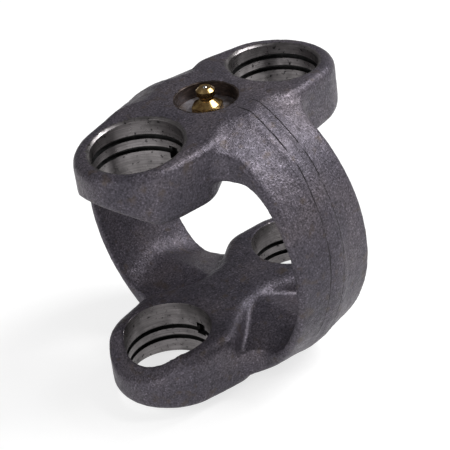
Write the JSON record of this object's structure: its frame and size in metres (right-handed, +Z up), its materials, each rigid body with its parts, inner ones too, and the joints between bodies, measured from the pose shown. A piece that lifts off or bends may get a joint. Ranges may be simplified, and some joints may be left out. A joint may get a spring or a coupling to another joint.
{
  "type": "forged double yoke",
  "caption": "One-piece forged centre yoke: a ring with two pairs of bored ears for two cross joints, and a grease nipple in a spot-faced recess.",
  "frame": {"origin": "on the lower flat land, below the centre of the ring", "axes": "+X along the drive shaft, +Y across the ring, +Z up along the cross bores towards the nipple"},
  "size_m": [0.1124, 0.1102, 0.1059],
  "materials": {
    "forged_steel": "as-forged dark scale, fine blasted grain; bores machined bright",
    "brass": "turned, slightly tarnished",
    "polished_steel": "polished",
    "spring_steel": "drawn wire"
  },
  "bodies": {
    "yoke_body": {"yoke": "forged_steel", "grease_nipple": "brass", "valve_spring": "spring_steel"},
    "valve_ball": {"check_ball": "polished_steel"}
  },
  "joints": [
    {"name": "check_ball_slide", "type": "slide", "parent": "yoke_body", "child": "valve_ball", "axis": [0, 0, -1], "range_m": [0, 0.0008], "stiffness_N_per_m": 300, "springref_m": -0.001, "deforming": ["valve_spring"]}
  ]
}
